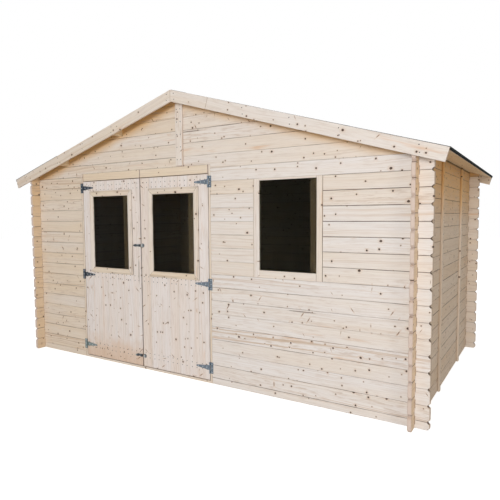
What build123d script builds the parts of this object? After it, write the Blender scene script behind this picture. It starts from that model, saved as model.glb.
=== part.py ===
"""Wooden garden shed: board walls crossing at the corners, low gable roof, double door, fixed window."""
import os
from math import ceil, cos, radians, sin, sqrt, tan

from build123d import *

os.makedirs("parts", exist_ok=True)

# All lengths are in millimetres. X runs along the front, the front faces -Y and Z is up.

# Board walls
course = 114.0           # face height of one wall board
wall_thick = 28.0
wall_width = 4100.0      # over the outer faces of the side walls
wall_depth = 2430.0      # over the outer faces of the front and back walls
corner_reach = 100.0     # board ends past the outer face of the crossing wall
end_cut = 17.0           # cut corners of each board end
groove = 3.0             # depth of the V joint between two boards
side_courses = 17        # whole boards in a side wall
lap_share = 0.25         # share of a board's height taken out by each corner lap

# Roof
roof_angle = 16.44       # degrees
eaves_reach = 210.0      # roof edge past the side walls
gable_reach = 125.0      # bargeboard face past the front and back walls
deck_thick = 18.0
felt_thick = 3.0
felt_turn = 20.0         # felt turned down over the eaves
barge_height = 95.0
barge_thick = 19.0
splice_share = 0.175     # place of the joint in the right front bargeboard, from the ridge
purlin_width = 45.0
purlin_height = 72.0
purlin_shares = (0.36, 0.75)   # places of the purlins, as shares of the half width of the walls

# Strips outside the walls
cover_width = 80.0       # strip over the joint of the gable boards
cover_thick = 18.0
cover_gap = 6.0          # cover strip above the doorway
batten_width = 45.0
batten_thick = 18.0
batten_shares = (0.34, 0.74)   # places of the side battens, as shares of the depth from the front

# Doorway
door_centre = -500.0
leaf_width = 794.0
leaf_gap = 12.0          # between the closed leaves
door_clear = 6.0         # leaf to jamb, head boards and threshold
jamb_width = 18.0
jamb_depth = 45.0
head_height = 72.5
head_gap = 8.0           # between and beside the head boards
sill_height = 21.0
sill_depth = 45.0
stop_width = 18.0
stop_thick = 15.0

# Door leaves
leaf_thick = 18.0
leaf_boards = 7
leaf_groove = 2.5
pane_width = 483.0       # glass seen inside the trim
pane_height = 715.0
pane_drop = 157.0        # leaf top to glass
pane_thick = 4.0
pane_lap = 8.0           # glass behind the trim
pane_clear = 1.0         # glass to the edge of its hole
trim_width = 52.0
trim_thick = 18.0
trim_bevel = 9.0
ledge_height = 90.0
ledge_thick = 22.0
ledge_inset = 45.0

# Strap hinges, three to a leaf
hinge_foot = 112.0       # lower hinge above the foot of the leaf
hinge_drop = 30.0        # middle hinge below the trim
hinge_rise_share = 0.37  # upper hinge between the trim and the top of the leaf
hinge_thick = 2.5
plate_width = 34.0
plate_height = 100.0
barrel_radius = 5.5
pin_radius = 2.5
pin_clear = 0.05
knuckle = 46.0           # length of the strap's knuckle
knuckle_gap = 0.5        # between knuckles
strap_reach = 150.0      # hinge pin to the strap's tip
strap_root = 44.0
strap_tip = 14.0

# Bolts on the meeting edge, drawn back
bolt_foot = 102.0        # lower bolt above the foot of the leaf
bolt_rise_share = 0.331  # upper bolt, as a share of the height of the glass
bolt_share = 0.74        # length of a bolt, as a share of the leaf's margin beside the trim
bolt_plate_share = 0.62  # its plate, the same way
keeper_share = 0.36      # its keeper, the same way
bolt_plate_height = 26.0
bolt_plate_thick = 2.0
bolt_radius = 5.0
bolt_guide = 6.0         # metal round the bolt in its guides
guide_share = 0.19       # length of a guide, as a share of the plate
bolt_clear = 0.5         # bolt in its keeper

# Fixed window
window_centre = 1060.0
window_width = 600.0
window_courses = 7       # boards beside the window
window_depth = 40.0
stile_width = 50.0
lower_rail = 60.0
upper_rail = 15.0
window_set = 12.0        # glass behind the wall face

# Cutters run past what they cut by this much
overrun = 20.0

# Levels and places worked out from the sizes above
half_width = wall_width / 2
half_depth = wall_depth / 2
end_x = half_width + corner_reach
end_y = half_depth + corner_reach
slope = tan(radians(roof_angle))
run = cos(radians(roof_angle))
fall = sin(radians(roof_angle))
ridge_low = side_courses * course + (half_width - wall_thick) * slope
ridge_top = ridge_low + deck_thick / run
ridge_courses = ceil(ridge_low / course)
roof_y = half_depth + gable_reach
deck_y = roof_y - barge_thick
deck_run = (half_width + eaves_reach - deck_thick * fall) / run

gable_base = course * side_courses - course / 2
window_top = gable_base - course
window_base = window_top - course * window_courses
window_left = window_centre - window_width / 2
window_right = window_centre + window_width / 2

leaf_offset = leaf_gap / 2
opening_half = leaf_offset + leaf_width + door_clear
jamb_left = door_centre - opening_half
jamb_right = door_centre + opening_half
doorway_left = jamb_left - jamb_width
doorway_right = jamb_right + jamb_width
doorway_top = gable_base + course * lap_share
head_base = doorway_top - head_height
leaf_base = sill_height + door_clear
leaf_top = head_base - door_clear
leaf_height = leaf_top - leaf_base
pane_top = leaf_top - pane_drop
pane_base = pane_top - pane_height
pane_middle = (pane_base + pane_top) / 2
trim_base = pane_base - trim_width
trim_top = pane_top + trim_width
leaf_margin = (leaf_width - pane_width) / 2 - trim_width
hinge_levels = (
    leaf_base + hinge_foot,
    trim_base - hinge_drop,
    trim_top + (leaf_top - trim_top) * hinge_rise_share,
)
bolt_levels = (leaf_base + bolt_foot, pane_base + pane_height * bolt_rise_share)

# Joint lines of the boards: front and back walls start with half a board, side walls with a whole one
front_joints = [course * (k + 1) - course / 2 for k in range(ridge_courses)]
side_joints = [course * (k + 1) for k in range(side_courses)]
# Levels where the other wall's boards pass through at a corner
side_necks = [course * (k + 1) - course / 2 for k in range(side_courses)]
front_necks = [course * k for k in range(side_courses + 1)]
front_columns = (wall_thick / 2 - half_width, half_width - wall_thick / 2)
side_columns = (wall_thick / 2 - half_depth, half_depth - wall_thick / 2)

# Outer faces of the walls: x along the wall, y up, z outward
front_face = Plane(origin=(0, -half_depth, 0), x_dir=(1, 0, 0), z_dir=(0, -1, 0))
back_face = Plane(origin=(0, half_depth, 0), x_dir=(-1, 0, 0), z_dir=(0, 1, 0))
right_face = Plane(origin=(half_width, 0, 0), x_dir=(0, 1, 0), z_dir=(1, 0, 0))
left_face = Plane(origin=(-half_width, 0, 0), x_dir=(0, -1, 0), z_dir=(-1, 0, 0))


def under_deck(x):
    """Height of the underside of the roof boards at a place along the front."""
    return ridge_low - abs(x) * slope


def slope_point(side, along, above):
    """A point in the roof's section: along the underside from the ridge, and square above it."""
    return (side * (along * run + above * fall), ridge_low - along * fall + above * run)


def save(part, name):
    """Label a finished piece and write its file."""
    part.label = name
    export_step(part, f"parts/{name}.step")


def box(plane, x_span, y_span, z_span):
    """A plain piece between three pairs of limits on a plane."""
    with BuildPart() as piece:
        with BuildSketch(plane.offset(z_span[0])):
            with Locations(((x_span[0] + x_span[1]) / 2, (y_span[0] + y_span[1]) / 2)):
                Rectangle(x_span[1] - x_span[0], y_span[1] - y_span[0])
        extrude(amount=z_span[1] - z_span[0])
    return piece.part


def section(points, y_start, y_end):
    """A piece of constant section, drawn across the shed and drawn out along Y."""
    with BuildPart() as piece:
        with BuildSketch(Plane(origin=(0, y_end, 0), x_dir=(1, 0, 0), z_dir=(0, -1, 0))):
            with BuildLine():
                Polyline(*points, close=True)
            make_face()
        extrude(amount=y_end - y_start)
    return piece.part


# The room under the roof boards, used to trim the walls and the battens
far_x = half_width + eaves_reach + overrun
far_y = roof_y + overrun
roof_space = section(
    [
        (-far_x, -overrun),
        (far_x, -overrun),
        (far_x, under_deck(far_x)),
        (0, ridge_low),
        (-far_x, under_deck(far_x)),
    ],
    -far_y,
    far_y,
)


def purlin(centre):
    """One purlin, plumb, its top planed to the roof."""
    low = under_deck(centre) - purlin_height
    edge = (centre - purlin_width / 2, centre + purlin_width / 2)
    top = [(edge[1], under_deck(edge[1])), (edge[0], under_deck(edge[0]))]
    if centre == 0:
        top.insert(1, (0, ridge_low))
    return section([(edge[0], low), (edge[1], low)] + top, -deck_y, deck_y)


purlin_places = [half_width * share for share in purlin_shares]
ridge_purlin = purlin(0)
slope_purlins = [purlin(side * place) for side in (-1, 1) for place in purlin_places]
all_purlins = [ridge_purlin] + slope_purlins


def board_wall(plane, x_span, z_span, joints, columns, necks, ends, cutters):
    """A panel of boards: V joints outside, cut board ends, and windows for the crossing boards."""
    length = x_span[1] - x_span[0]
    height = z_span[1] - z_span[0]
    with BuildPart() as panel:
        with BuildSketch(plane):
            with Locations(((x_span[0] + x_span[1]) / 2, (z_span[0] + z_span[1]) / 2)):
                Rectangle(length, height)
            if columns:
                with Locations([(column, neck) for column in columns for neck in necks]):
                    Rectangle(wall_thick, course - 2 * course * lap_share, mode=Mode.SUBTRACT)
            if ends:
                with Locations([(end, joint) for end in ends for joint in joints]):
                    Rectangle(end_cut * sqrt(2), end_cut * sqrt(2), rotation=45, mode=Mode.SUBTRACT)
        extrude(amount=-wall_thick)
        profile = Plane(origin=plane.origin + plane.x_dir * x_span[0], x_dir=plane.y_dir, z_dir=plane.x_dir)
        with BuildSketch(profile):
            with Locations([(joint, 0) for joint in joints]):
                Rectangle(groove * sqrt(2), groove * sqrt(2), rotation=45)
        extrude(amount=length, mode=Mode.SUBTRACT)
        add(roof_space, mode=Mode.INTERSECT)
        for cutter in cutters:
            add(cutter, mode=Mode.SUBTRACT)
    return panel.part


def joints_between(joints, low, high):
    """The joint lines that lie on or between two levels."""
    return [joint for joint in joints if low - groove < joint < high + groove]


def front_panel(x_span, z_span, columns, ends, cutters=()):
    """A panel of the front wall."""
    joints = joints_between(front_joints, *z_span)
    return board_wall(front_face, x_span, z_span, joints, columns, side_necks, ends, cutters)


def back_panel(x_span, z_span, columns, ends, cutters=()):
    """A panel of the back wall."""
    joints = joints_between(front_joints, *z_span)
    return board_wall(back_face, x_span, z_span, joints, columns, side_necks, ends, cutters)


def side_panel(plane):
    """A whole side wall."""
    ends = (-end_y, end_y)
    top = side_courses * course + overrun
    return board_wall(plane, ends, (0, top), side_joints, side_columns, front_necks, ends, ())


# Front wall, parted beside and over the doorway and the window
save(front_panel((-end_x, doorway_left), (0, gable_base), front_columns[:1], (-end_x,)), "front_wall_left")
window_span = (window_base, window_top)
lintel_span = (window_top, gable_base)
save(front_panel((doorway_right, end_x), (0, window_base), front_columns[1:], (end_x,)), "front_wall_lower")
save(front_panel((doorway_right, window_left), window_span, (), ()), "front_wall_pier")
save(front_panel((window_right, end_x), window_span, front_columns[1:], (end_x,)), "front_wall_right")
save(front_panel((doorway_right, end_x), lintel_span, front_columns[1:], (end_x,)), "front_wall_lintel")

# Gables, in two halves that meet behind the cover strips; the front pair is let over the door's head boards
head_space = box(
    front_face,
    (doorway_left, doorway_right),
    (gable_base - overrun, doorway_top),
    (overrun, -wall_thick - overrun),
)
front_cuts = all_purlins + [head_space]
gable_span = (gable_base, ridge_top)
save(front_panel((-end_x, 0), gable_span, front_columns[:1], (-end_x,), front_cuts), "front_gable_left")
save(front_panel((0, end_x), gable_span, front_columns[1:], (end_x,), front_cuts), "front_gable_right")
save(back_panel((0, end_x), gable_span, front_columns[1:], (end_x,), all_purlins), "back_gable_left")
save(back_panel((-end_x, 0), gable_span, front_columns[:1], (-end_x,), all_purlins), "back_gable_right")

# Back and side walls
save(back_panel((-end_x, end_x), (0, gable_base), front_columns, (-end_x, end_x)), "back_wall")
save(side_panel(left_face), "left_wall")
save(side_panel(right_face), "right_wall")

# Cover strips on the gables, from above the doorway to the ridge purlin
cover_span = (doorway_top + cover_gap, ridge_low - purlin_height)
with BuildPart() as covers:
    for plane in (front_face, back_face):
        with BuildSketch(plane):
            with Locations((0, (cover_span[0] + cover_span[1]) / 2)):
                Rectangle(cover_width, cover_span[1] - cover_span[0])
        extrude(amount=cover_thick)
save(covers.part, "gable_cover_strips")

# Battens on the side walls, two to a side, from the ground to the roof
batten_places = [share * wall_depth - half_depth for share in batten_shares]
with BuildPart() as battens:
    for plane, along in ((left_face, -1), (right_face, 1)):
        with BuildSketch(plane):
            with Locations([(along * place, ridge_low / 2) for place in batten_places]):
                Rectangle(batten_width, ridge_low)
        extrude(amount=batten_thick)
    add(roof_space, mode=Mode.INTERSECT)
save(battens.part, "side_wall_battens")

# Purlins
save(ridge_purlin, "ridge_purlin")
with BuildPart() as purlins:
    for piece in slope_purlins:
        add(piece)
save(purlins.part, "slope_purlins")

# Roof boards and felt on each slope
for name, side in (("left", -1), ("right", 1)):
    eaves_low = slope_point(side, deck_run, 0)
    eaves_top = slope_point(side, deck_run, deck_thick)
    deck_points = [(0, ridge_low), eaves_low, eaves_top, (0, ridge_top)]
    save(section(deck_points, -deck_y, deck_y), f"roof_boards_{name}")
    felt_points = [
        (0, ridge_top),
        eaves_top,
        slope_point(side, deck_run, deck_thick - felt_turn),
        slope_point(side, deck_run + felt_thick, deck_thick - felt_turn),
        slope_point(side, deck_run + felt_thick, deck_thick + felt_thick),
        (0, ridge_top + felt_thick / run),
    ]
    save(section(felt_points, -roof_y, roof_y), f"roof_felt_{name}")


def bargeboard(side, start, end, y_start):
    """A length of bargeboard, square to the slope at each end, or plumb where it starts at the ridge."""
    low = deck_thick - barge_height
    upper = [slope_point(side, start, deck_thick), slope_point(side, start, low)]
    if start == 0:
        upper = [(0, ridge_top), (0, ridge_top - barge_height / run)]
    lower = [slope_point(side, end, low), slope_point(side, end, deck_thick)]
    return section(upper + lower, y_start, y_start + barge_thick)


# Bargeboards; the right one at the front is in two lengths
splice = deck_run * splice_share
save(bargeboard(-1, 0, deck_run, -roof_y), "front_bargeboard_left")
save(bargeboard(1, 0, splice, -roof_y), "front_bargeboard_right_upper")
save(bargeboard(1, splice, deck_run, -roof_y), "front_bargeboard_right_lower")
save(bargeboard(-1, 0, deck_run, deck_y), "back_bargeboard_left")
save(bargeboard(1, 0, deck_run, deck_y), "back_bargeboard_right")

# Door frame
jamb_offset = opening_half + jamb_width / 2
with BuildPart() as jambs:
    with BuildSketch(front_face):
        with Locations([(door_centre + side * jamb_offset, doorway_top / 2) for side in (-1, 1)]):
            Rectangle(jamb_width, doorway_top)
    extrude(amount=-jamb_depth)
save(jambs.part, "door_jambs")
save(box(front_face, (jamb_left, jamb_right), (0, sill_height), (0, -sill_depth)), "door_threshold")
head_length = opening_half - head_gap - head_gap / 2
head_offset = (head_gap + head_length) / 2
head_middle = (head_base + doorway_top) / 2
with BuildPart() as heads:
    with BuildSketch(front_face):
        with Locations([(door_centre + side * head_offset, head_middle) for side in (-1, 1)]):
            Rectangle(head_length, head_height)
    extrude(amount=-wall_thick)
save(heads.part, "door_head_boards")
stop_offset = opening_half - stop_width / 2
stop_middle = (sill_height + head_base) / 2
with BuildPart() as stops:
    with BuildSketch(front_face.offset(-leaf_thick - door_clear)):
        with Locations([(door_centre + side * stop_offset, stop_middle) for side in (-1, 1)]):
            Rectangle(stop_width, head_base - sill_height)
    extrude(amount=-stop_thick)
save(stops.part, "door_stops")

# Fixed window
stile_inner = (window_left + stile_width, window_right - stile_width)
stile_offset = (window_width - stile_width) / 2
window_middle = (window_base + window_top) / 2
with BuildPart() as stiles:
    with BuildSketch(front_face):
        with Locations([(window_centre + side * stile_offset, window_middle) for side in (-1, 1)]):
            Rectangle(stile_width, window_top - window_base)
    extrude(amount=-window_depth)
save(stiles.part, "window_stiles")
rail_levels = ((window_base, window_base + lower_rail), (window_top - upper_rail, window_top))
with BuildPart() as rails:
    for low, high in rail_levels:
        with BuildSketch(front_face):
            with Locations((window_centre, (low + high) / 2)):
                Rectangle(stile_inner[1] - stile_inner[0], high - low)
        extrude(amount=-window_depth)
save(rails.part, "window_rails")
glass_span = (rail_levels[0][1], rail_levels[1][0])
save(box(front_face, stile_inner, glass_span, (-window_set - pane_thick, -window_set)), "window_glass")

# Door leaves with glass, trim, ledges, hinges and bolts; side is -1 for the left leaf and 1 for the right
for name, side in (("left", -1), ("right", 1)):
    meet = door_centre + side * leaf_offset
    hang = meet + side * leaf_width
    middle = (meet + hang) / 2
    pin_x = hang + side * door_clear / 2
    hole = (pane_width + 2 * pane_lap, pane_height + 2 * pane_lap)

    with BuildPart() as leaf:
        with BuildSketch(front_face):
            with Locations((middle, (leaf_base + leaf_top) / 2)):
                Rectangle(leaf_width, leaf_height)
            with Locations((middle, pane_middle)):
                Rectangle(*hole, mode=Mode.SUBTRACT)
        extrude(amount=-leaf_thick)
        leaf_foot = Plane(origin=(middle, -half_depth, leaf_base), x_dir=(1, 0, 0), z_dir=(0, 0, 1))
        board_shares = [k / leaf_boards for k in range(1, leaf_boards)]
        with BuildSketch(leaf_foot):
            with Locations([(leaf_width * share - leaf_width / 2, 0) for share in board_shares]):
                Rectangle(leaf_groove * sqrt(2), leaf_groove * sqrt(2), rotation=45)
        extrude(amount=leaf_height, mode=Mode.SUBTRACT)
    save(leaf.part, f"{name}_door_leaf")

    with BuildPart() as pane:
        with BuildSketch(front_face):
            with Locations((middle, pane_middle)):
                Rectangle(hole[0] - 2 * pane_clear, hole[1] - 2 * pane_clear)
        extrude(amount=-pane_thick)
    save(pane.part, f"{name}_door_glass")

    with BuildPart() as trim:
        with BuildSketch(front_face):
            with Locations((middle, pane_middle)):
                Rectangle(pane_width + 2 * trim_width, pane_height + 2 * trim_width)
                Rectangle(pane_width, pane_height, mode=Mode.SUBTRACT)
        extrude(amount=trim_thick)
        front_edges = trim.edges().group_by(Axis.Y)[0]
        inner = [e for e in front_edges if abs(e.center().X - middle) < pane_width / 2 + trim_width / 2
                 and abs(e.center().Z - pane_middle) < pane_height / 2 + trim_width / 2]
        chamfer(inner, length=trim_bevel)
    save(trim.part, f"{name}_door_trim")

    with BuildPart() as ledges:
        with BuildSketch(front_face.offset(-leaf_thick)):
            with Locations([(middle, level) for level in hinge_levels]):
                Rectangle(leaf_width - 2 * ledge_inset, ledge_height)
        extrude(amount=-ledge_thick)
    save(ledges.part, f"{name}_door_ledges")

    # Hinge plates on the jamb carry the pin and the outer knuckles, the straps turn on it
    edge_gap = barrel_radius + door_clear / 2
    outer_knuckle = (plate_height - knuckle) / 2 - knuckle_gap
    knuckle_offset = (knuckle + outer_knuckle) / 2 + knuckle_gap
    with BuildPart() as plates:
        for level in hinge_levels:
            with BuildSketch(front_face):
                with Locations((pin_x + side * (edge_gap + plate_width) / 2, level)):
                    Rectangle(plate_width - edge_gap, plate_height)
                ends = (level - knuckle_offset, level + knuckle_offset)
                with Locations([(pin_x + side * edge_gap / 2, end) for end in ends]):
                    Rectangle(edge_gap, outer_knuckle)
            extrude(amount=hinge_thick)
            pin_base = Plane(origin=(pin_x, -half_depth - barrel_radius, level), z_dir=(0, 0, 1))
            for end in (-1, 1):
                with BuildSketch(pin_base.offset(end * knuckle_offset - outer_knuckle / 2)):
                    Circle(barrel_radius)
                extrude(amount=outer_knuckle)
            with BuildSketch(pin_base.offset(-plate_height / 2)):
                Circle(pin_radius)
            extrude(amount=plate_height)
    save(plates.part, f"{name}_hinge_plates")

    with BuildPart() as straps:
        for level in hinge_levels:
            with BuildSketch(front_face):
                with BuildLine():
                    Polyline(
                        (pin_x - side * edge_gap, level - strap_root / 2),
                        (pin_x - side * strap_reach, level - strap_tip / 2),
                        (pin_x - side * strap_reach, level + strap_tip / 2),
                        (pin_x - side * edge_gap, level + strap_root / 2),
                        close=True,
                    )
                make_face()
                with Locations((pin_x - side * edge_gap / 2, level)):
                    Rectangle(edge_gap, strap_root)
            extrude(amount=hinge_thick)
            pin_base = Plane(origin=(pin_x, -half_depth - barrel_radius, level), z_dir=(0, 0, 1))
            with BuildSketch(pin_base.offset(-knuckle / 2)):
                Circle(barrel_radius)
            extrude(amount=knuckle)
            with BuildSketch(pin_base.offset(-knuckle / 2)):
                Circle(pin_radius + pin_clear)
            extrude(amount=knuckle, mode=Mode.SUBTRACT)
    save(straps.part, f"{name}_hinge_straps")

    # Bolts on the left leaf, drawn back to its edge, and the keepers on the right leaf that they shoot into
    guide = 2 * (bolt_radius + bolt_guide)
    rod_lift = bolt_plate_thick + bolt_radius + bolt_clear
    guide_rise = rod_lift + bolt_radius + bolt_guide / 2
    if name == "left":
        plate_length = leaf_margin * bolt_plate_share
        guide_length = plate_length * guide_share
        guide_places = (meet - guide_length / 2, meet - plate_length + guide_length / 2)
        with BuildPart() as bolts:
            for level in bolt_levels:
                with BuildSketch(front_face):
                    with Locations((meet - plate_length / 2, level)):
                        Rectangle(plate_length, bolt_plate_height)
                extrude(amount=bolt_plate_thick)
                with BuildSketch(front_face):
                    with Locations([(place, level) for place in guide_places]):
                        Rectangle(guide_length, guide)
                extrude(amount=guide_rise)
                rod = Plane(origin=(meet, -half_depth - rod_lift, level), z_dir=(-1, 0, 0))
                with BuildSketch(rod):
                    Circle(bolt_radius)
                extrude(amount=leaf_margin * bolt_share)
        save(bolts.part, "left_door_bolts")
    else:
        keeper_radius = leaf_margin * keeper_share / 2
        bolt_hole = 2 * (bolt_radius + bolt_clear)
        with BuildPart() as keepers:
            for level in bolt_levels:
                place = meet + bolt_clear + keeper_radius
                with BuildSketch(front_face):
                    with Locations((place, level)):
                        Circle(keeper_radius)
                extrude(amount=bolt_plate_thick)
                corner = (place - bolt_guide, -half_depth, level)
                with BuildSketch(Plane(origin=corner, x_dir=(0, -1, 0), z_dir=(1, 0, 0))):
                    with Locations((guide_rise / 2, 0)):
                        Rectangle(guide_rise, guide)
                    with Locations((rod_lift, 0)):
                        Rectangle(bolt_hole, bolt_hole, mode=Mode.SUBTRACT)
                extrude(amount=2 * bolt_guide)
        save(keepers.part, "right_door_keepers")
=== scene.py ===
"""Looks of the wooden garden shed: boards, doors, roof, fittings, light and camera.

Metres in the shed's own frame: +X right, +Y back, +Z up, the front faces -Y.
"""
import random
from math import cos, dist, pi, radians, sin, tan

import bpy
from mathutils import Matrix, Vector


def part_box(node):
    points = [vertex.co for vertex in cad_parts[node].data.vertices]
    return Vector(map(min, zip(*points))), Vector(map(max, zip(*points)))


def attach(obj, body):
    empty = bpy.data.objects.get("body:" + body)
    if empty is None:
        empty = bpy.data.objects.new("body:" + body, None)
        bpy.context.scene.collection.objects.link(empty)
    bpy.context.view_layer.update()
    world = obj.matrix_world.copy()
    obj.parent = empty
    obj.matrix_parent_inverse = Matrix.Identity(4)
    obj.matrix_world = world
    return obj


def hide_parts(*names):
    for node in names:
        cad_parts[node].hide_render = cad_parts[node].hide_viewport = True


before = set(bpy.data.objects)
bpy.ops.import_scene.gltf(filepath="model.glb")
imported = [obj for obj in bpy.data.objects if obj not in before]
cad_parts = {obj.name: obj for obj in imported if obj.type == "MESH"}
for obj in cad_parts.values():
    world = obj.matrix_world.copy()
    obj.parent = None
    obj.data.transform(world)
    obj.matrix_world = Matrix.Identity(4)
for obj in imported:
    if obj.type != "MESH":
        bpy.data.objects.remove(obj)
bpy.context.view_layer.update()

# Walls
right_low, right_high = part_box("right_wall")
back_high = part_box("back_wall")[1]
half_courses = 33  # half board heights from the ground to the foot of the gables
course = back_high.z / half_courses * 2
side_courses = 17  # board heights of a side wall, of which the highest is cut down
wall_thick = right_high.x - right_low.x
face_x = right_high.x  # outer face of the side walls
face_y = back_high.y  # outer face of the front and back walls
reach_x = back_high.x  # board ends past the corners
reach_y = right_high.y
gable_base = back_high.z
lap = course / 4  # depth of each corner notch
end_cut = 0.017  # cut corners at the board ends
joint_edge = 0.0036  # eased edges that make the V joints
small_edge = 0.0015
sawn_edge = 0.002
most_stand = 0.0006  # how far a board may stand back from its face
joint_range = (0.16, 0.62)  # darkness of tight and of open joints, partly painted shade in their grooves
side_gaping = 1.7  # how much darker the joints of the side walls are
side_notch_shade = 0.22  # painted shade deep in the notches of the side walls' boards
batten_width = 0.045
cover_nail_rows = 5

# Roof
slope = radians(16.44)
ridge_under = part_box("ridge_purlin")[1].z
deck_low, deck_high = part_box("roof_boards_right")
ridge_top = deck_high.z
deck_thick = (ridge_top - ridge_under) * cos(slope)
deck_run = deck_high.x / cos(slope)
deck_y = deck_high.y
deck_board_count = 27
barge_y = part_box("front_bargeboard_left")[0].y
barge_height = 0.095
barge_thick = deck_low.y - barge_y
splice_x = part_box("front_bargeboard_right_upper")[1].x
purlin_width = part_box("ridge_purlin")[1].x * 2
purlin_height = ridge_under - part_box("ridge_purlin")[0].z
outer_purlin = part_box("slope_purlins")[1].x - purlin_width / 2
inner_purlin = 0.738
barge_nail_places = (0.045, inner_purlin, 1.15, outer_purlin, 2.08)
barge_nail_pair = ((-0.024, 0.0), (-0.071, 0.018))  # across the board, and a shift along it

# Felt
felt_share = 0.42  # one strip's thickness, as a share of the felt's
felt_lap = 0.07
felt_split_shares = (0.36, 0.68)  # where the lower strips start, as shares of the slope
felt_overlap = 0.009  # middle strip past the ends of the roof boards
felt_turn = 0.020  # lowest strip turned down at the eaves
bitumen_and_shade = 0.012  # dark band along each lower edge: partly bitumen, partly painted shade under the lap
felt_waver = 0.004
felt_steps = 28
felt_row_shares = (0.0, 0.3, 0.6, 0.85)
cap_rows = (0.08, 0.148, 0.16)  # lines across half the ridge cap, from the ridge
felt_nails = 22
felt_nail_inset = 0.05  # first and last nail of a row from the ends
felt_nail_edge = 0.02  # nails above the lower edge

# Doors and window
boards_per_leaf = 7
leaf_edge = 0.0025
leaf_gaping = 0.6
trim_width = 0.052
mitre_gap = 0.0011
ledge_height = 0.09
stop_width = 0.018
head_gap = 0.008  # between the two head boards
strip_width = 0.074  # strip behind the right-hand edge of a door pane, a painted reflection seen through it
window_strip_width = 0.058
strip_thick = 0.012
strip_clear = 0.0005
door_strip_depth = 0.0045
tight_joint, open_joint = 0.08, 0.75  # darkness beside the two window stiles, partly painted shade in their joints
hinge_levels = (0.139, 0.877, 1.765)

# Nails, screws and knobs
head_rise = 0.0012
wall_nail = (0.0042, head_rise, 10)  # radius, rise and number of sides
door_nail = (0.0042, 0.001, 10)
felt_nail = (0.005, 0.0004, 8)
screw = (0.0042, 0.0016, 12)
knob = (0.009, 0.004, 14)
door_nail_shares = (0.27, 0.73)  # across a leaf board
door_nail_offset = 0.022  # above and below the middle of a ledge
felt_nail_sink = 0.0005
hinge_sheet = 0.0025
pin_inset = 0.0055  # hinge pin from the edge of its plate
strap_screws = (0.036, 0.080, 0.128)  # from the pin
plate_screws = (-0.036, 0.0, 0.036)  # above the middle of the plate
plate_screw_inset = 0.021  # from the pin
knob_inset = 0.007
bolt_half = 0.013  # half the height of a bolt's plate

# Camera, from the board joints in the photo
camera_place = (2.7855, -4.5403, 1.4623)
camera_yaw = radians(31.8155)
camera_pitch = radians(-3.972)
camera_roll = radians(-0.3437)
camera_lens = 34.485
sensor_width = 36.0

# Studio
floor_half = 30.0
ambient = 0.35
lamps = {  # place, target, size, watts and colour
    "key": ((3.0, -12.0, 2.6), (0.2, -1.2, 1.1), 3.2, 625.0, (0.97, 0.99, 1.0)),
    "fill": ((6.5, -4.2, 1.3), (2.1, 0.2, 1.0), 1.8, 46.0, (1.0, 0.91, 0.80)),
    "back": ((-5.5, 10.5, 3.0), (-0.4, 1.0, 1.1), 3.2, 620.0, (1.0, 0.97, 0.93)),
}

# Colours in spruce
# painted warm shade under the roof, on the tops of the gables and side walls
roof_shade_gold = (0.72, 0.45, 0.19, 1)
# painted warm shade on the side walls' board ends past the corners
corner_shade_cream = (0.88, 0.69, 0.48, 1)
late_wood = (0.54, 0.36, 0.22, 1)
fine_line = (0.52, 0.40, 0.31, 1)
figure_brown = (0.55, 0.42, 0.33, 1)
resin_amber = (0.68, 0.38, 0.18, 1)
damp_brown = (0.68, 0.46, 0.30, 1)
end_grain = (0.66, 0.54, 0.49, 1)
# end grain of the front and back walls, darkened further as painted shade on their board ends
wall_end_grain_shade = (0.44, 0.34, 0.25, 1)
knot_halo = (0.60, 0.36, 0.19, 1)
pocket_halo = (0.50, 0.36, 0.24, 1)
# dark of the joints, partly painted shade in their grooves, notches and mouldings
joint_shade_dark = (0.085, 0.048, 0.028, 1)
white = (1, 1, 1, 1)

# Spots in spruce: their form (a low value draws them out that way), how many places for them in a metre,
# the share of these that hold one, the largest radius, and how ragged their edges are
spots = {
    "knot": ((0.85, 1.0, 0.0), 5.6, 0.48, 0.0094, 0.35),
    "pin": ((0.9, 0.9, 0.0), 12.5, 0.52, 0.0066, 0.35),
    "spike": ((1.0, 0.26, 0.0), 13.0, 0.62, 0.0042, 0.35),
    "pocket": ((0.032, 1.0, 0.0), 8.0, 0.22, 0.0040, 0.2),
}
smallest_share = 0.45  # smallest spot, as a share of the largest
least_spot = 0.0008
spot_edge = (-0.0006, 0.0008)  # how softly a spot ends
halo_shares = (0.7, 3.2)  # where the wood around a spot starts to clear and is clear, in radii

# Strength and colour of the spots, in the order in which they are laid
spot_colours = {
    "pocket": (0.80, (0.15, 0.11, 0.085, 1)),
    "spike": (0.85, (0.19, 0.10, 0.055, 1)),
    "pin": (0.96, (0.050, 0.028, 0.019, 1)),
    "knot": (0.95, (0.060, 0.030, 0.018, 1)),
}

# How boards differ: their share of round knots, of spike knots, and the strength of their grain
habits = {
    "clear": (0.30, 0.08, 0.28),
    "round": (1.0, 0.15, 0.45),
    "spiky": (0.60, 1.0, 0.60),
    "streaky": (0.85, 0.20, 1.0),
}

# Front walls: tones of their boards, habits from the lowest up, and how dark the joints are
under_window = ("round", "streaky", "round", "round", "streaky") + ("spiky",) * 4
front_walls = {
    "front_wall_left": ((0.55, 0.95), (), 1.2),
    "front_wall_lower": ((0.0, 0.25), under_window, 1.0),
    "front_wall_pier": ((0.0, 0.5), ("clear", "clear", "round", "clear", "round", "clear", "round"), 0.8),
    "front_wall_right": ((0.0, 0.5), ("spiky", "clear", "round", "clear", "clear", "streaky", "clear"), 2.0),
    "front_wall_lintel": ((0.0, 0.5), ("round",), 1.0),
}
# the side walls' boards run warmer: partly their own tone, partly painted warm shade
side_tone = (0.40, 0.85)
gable_tone = (0.3, 0.7)
left_gable_tone = (0.45, 0.85)
back_tone = (0.5, 0.8)
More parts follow.
